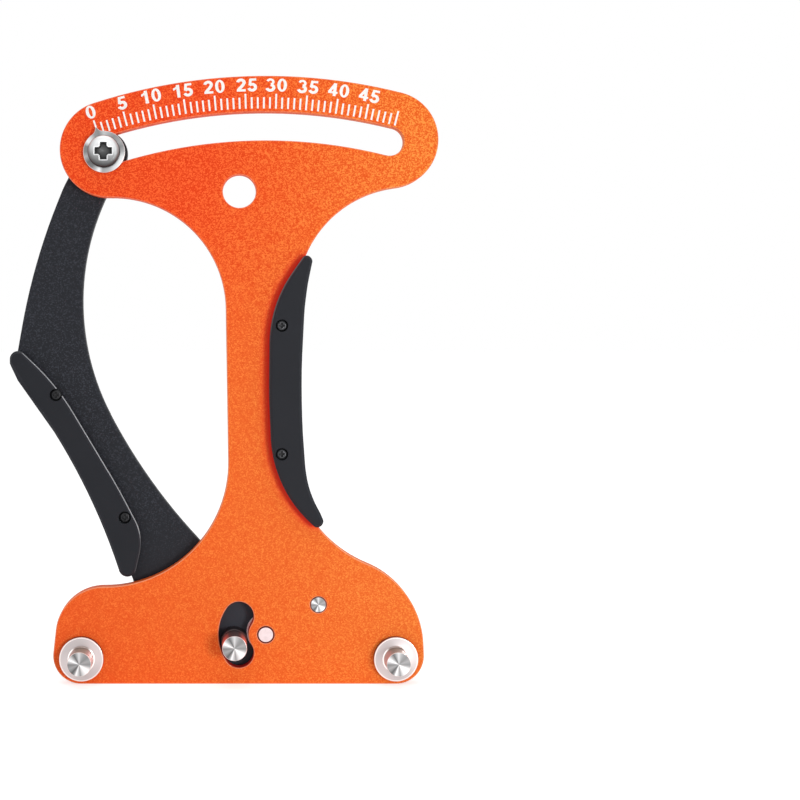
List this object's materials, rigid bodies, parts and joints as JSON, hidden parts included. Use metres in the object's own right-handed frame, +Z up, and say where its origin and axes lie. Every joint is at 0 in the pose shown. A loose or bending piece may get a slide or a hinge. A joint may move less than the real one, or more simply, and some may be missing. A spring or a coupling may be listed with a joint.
{
  "type": "spoke tension meter",
  "caption": "Flat hand tool with an hourglass face plate, an arched scale with a pointer, a sprung curved lever, grips and round posts that bend a wheel spoke.",
  "frame": {"origin": "centre of the hanging hole, in the middle of the face plate's thickness", "axes": "+Z up the plate towards the scale, +X to the right and -Y out of the face plate's front"},
  "size_m": [0.1074, 0.0225, 0.1521],
  "materials": {
    "orange_coat": "fine-textured satin powder coat",
    "black_coat": "fine-textured satin powder coat",
    "grip_plastic": "satin moulded plastic",
    "turned_steel": "turned, fine rings",
    "pin_steel": "ground, matt",
    "screw_steel": "bright zinc plate",
    "screw_black": "black oxide",
    "spring_steel": "drawn wire",
    "spring_black": "phosphated",
    "white_nylon": "plain nylon"
  },
  "bodies": {
    "frame": {"face_plate": "orange_coat", "left_post": "turned_steel", "right_post": "turned_steel", "post_screws": "screw_steel", "pivot_pin": "pin_steel", "pivot_spacer": "pin_steel", "spring_anchor_pin": "turned_steel", "spring_sleeve": "white_nylon", "pivot_washer": "screw_steel", "pivot_clip": "spring_black", "torsion_spring": "spring_steel", "right_grip_front": "grip_plastic", "right_grip_rear": "grip_plastic", "right_grip_screws": "screw_black"},
    "lever": {"lever_arm": "black_coat", "moving_post": "turned_steel", "lever_spring_pin": "turned_steel", "left_grip_front": "grip_plastic", "left_grip_rear": "grip_plastic", "left_grip_screws": "screw_black", "pointer": "turned_steel", "pointer_bush": "white_nylon", "pointer_screw": "screw_steel", "pointer_nut": "screw_steel"}
  },
  "joints": [
    {"name": "lever_pivot", "type": "hinge", "parent": "frame", "child": "lever", "pos_m": [0.0066, 0.0035, -0.1109], "axis": [0, 1, 0], "range_deg": [0, 32.6], "stiffness_Nm_per_rad": 0.75, "springref_deg": -57.3, "deforming": ["torsion_spring"]}
  ]
}
